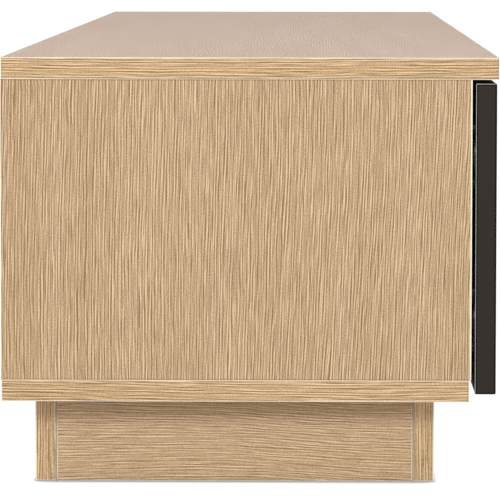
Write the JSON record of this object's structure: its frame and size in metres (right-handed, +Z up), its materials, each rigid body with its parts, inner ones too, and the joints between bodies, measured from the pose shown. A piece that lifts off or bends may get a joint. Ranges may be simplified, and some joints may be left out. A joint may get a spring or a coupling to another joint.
{
  "type": "tv stand with doors",
  "caption": "Low tv stand in light oak on a recessed plinth, with near-black push-to-open end doors and an open shelved middle.",
  "frame": {"origin": "on the floor under the middle of the stand, at the centre of its outline", "axes": "+X along the length to the right seen from the front, +Y from the doors to the back, +Z up"},
  "size_m": [2, 0.41, 0.354],
  "materials": {
    "oak_veneer": "18 mm board faced in light oak, open straight grain, matt",
    "oak_edge_band": "light oak edge band, matt",
    "oak_backboard": "4 mm oak-faced fibreboard, matt",
    "charcoal_laminate": "near-black laminate, matt",
    "charcoal_edge_band": "near-black edge band, matt",
    "zinc_steel": "zinc-plated, satin",
    "black_steel": "black-plated, satin",
    "nickel_steel": "nickel-plated, satin",
    "magnet": "nickel-plated magnet",
    "grey_plastic": "grey nylon, matt",
    "beech": "fluted beech dowel",
    "pine": "planed pine"
  },
  "bodies": {
    "carcass": {"top_panel": "oak_veneer", "top_edge_bands": "oak_edge_band", "bottom_panel": "oak_veneer", "bottom_edge_bands": "oak_edge_band", "left_side_panel": "oak_veneer", "right_side_panel": "oak_veneer", "left_divider": "oak_veneer", "right_divider": "oak_veneer", "side_front_bands": "oak_edge_band", "divider_front_bands": "oak_edge_band", "left_back_panel": "oak_backboard", "centre_back_panel": "oak_backboard", "right_back_panel": "oak_backboard", "left_cabinet_shelf": "oak_veneer", "right_cabinet_shelf": "oak_veneer", "centre_shelf": "oak_veneer", "shelf_front_bands": "oak_edge_band", "shelf_pins": "nickel_steel", "cam_locks": "zinc_steel", "cam_bolts": "zinc_steel", "dowels": "beech", "plinth_front_board": "oak_veneer", "plinth_rear_board": "oak_veneer", "plinth_edge_bands": "oak_edge_band", "left_plinth_end_board": "oak_veneer", "right_plinth_end_board": "oak_veneer", "plinth_rails": "oak_veneer", "plinth_glue_blocks": "pine", "plinth_screws": "zinc_steel", "hinge_arms": "black_steel", "hinge_pins": "nickel_steel", "hinge_mounting_plates": "black_steel", "hinge_plate_screws": "black_steel", "hinge_arm_screws": "black_steel", "latch_housings": "grey_plastic", "latch_screws": "nickel_steel"},
    "left_door": {"left_door_panel": "charcoal_laminate", "left_door_edge_bands": "charcoal_edge_band", "left_hinge_cups": "black_steel", "left_hinge_cup_screws": "black_steel", "left_strike_plate": "nickel_steel"},
    "right_door": {"right_door_panel": "charcoal_laminate", "right_door_edge_bands": "charcoal_edge_band", "right_hinge_cups": "black_steel", "right_hinge_cup_screws": "black_steel", "right_strike_plate": "nickel_steel"},
    "left_latch": {"left_latch_plunger": "grey_plastic", "left_latch_magnet": "magnet"},
    "right_latch": {"right_latch_plunger": "grey_plastic", "right_latch_magnet": "magnet"}
  },
  "joints": [
    {"name": "left_door_hinge", "type": "hinge", "parent": "carcass", "child": "left_door", "pos_m": [-0.9935, -0.1955, 0.2046], "axis": [0, 0, -1], "range_deg": [0, 95]},
    {"name": "left_latch_travel", "type": "slide", "parent": "carcass", "child": "left_latch", "axis": [0, -1, 0], "range_m": [0, 0.012]},
    {"name": "right_door_hinge", "type": "hinge", "parent": "carcass", "child": "right_door", "pos_m": [0.9935, -0.1955, 0.2046], "axis": [0, 0, 1], "range_deg": [0, 95]},
    {"name": "right_latch_travel", "type": "slide", "parent": "carcass", "child": "right_latch", "axis": [0, -1, 0], "range_m": [0, 0.012]}
  ],
  "couplings": [
    {"joint": "left_latch_travel", "follows": "left_door_hinge", "m_per_rad": 0.0072},
    {"joint": "right_latch_travel", "follows": "right_door_hinge", "m_per_rad": 0.0072}
  ]
}
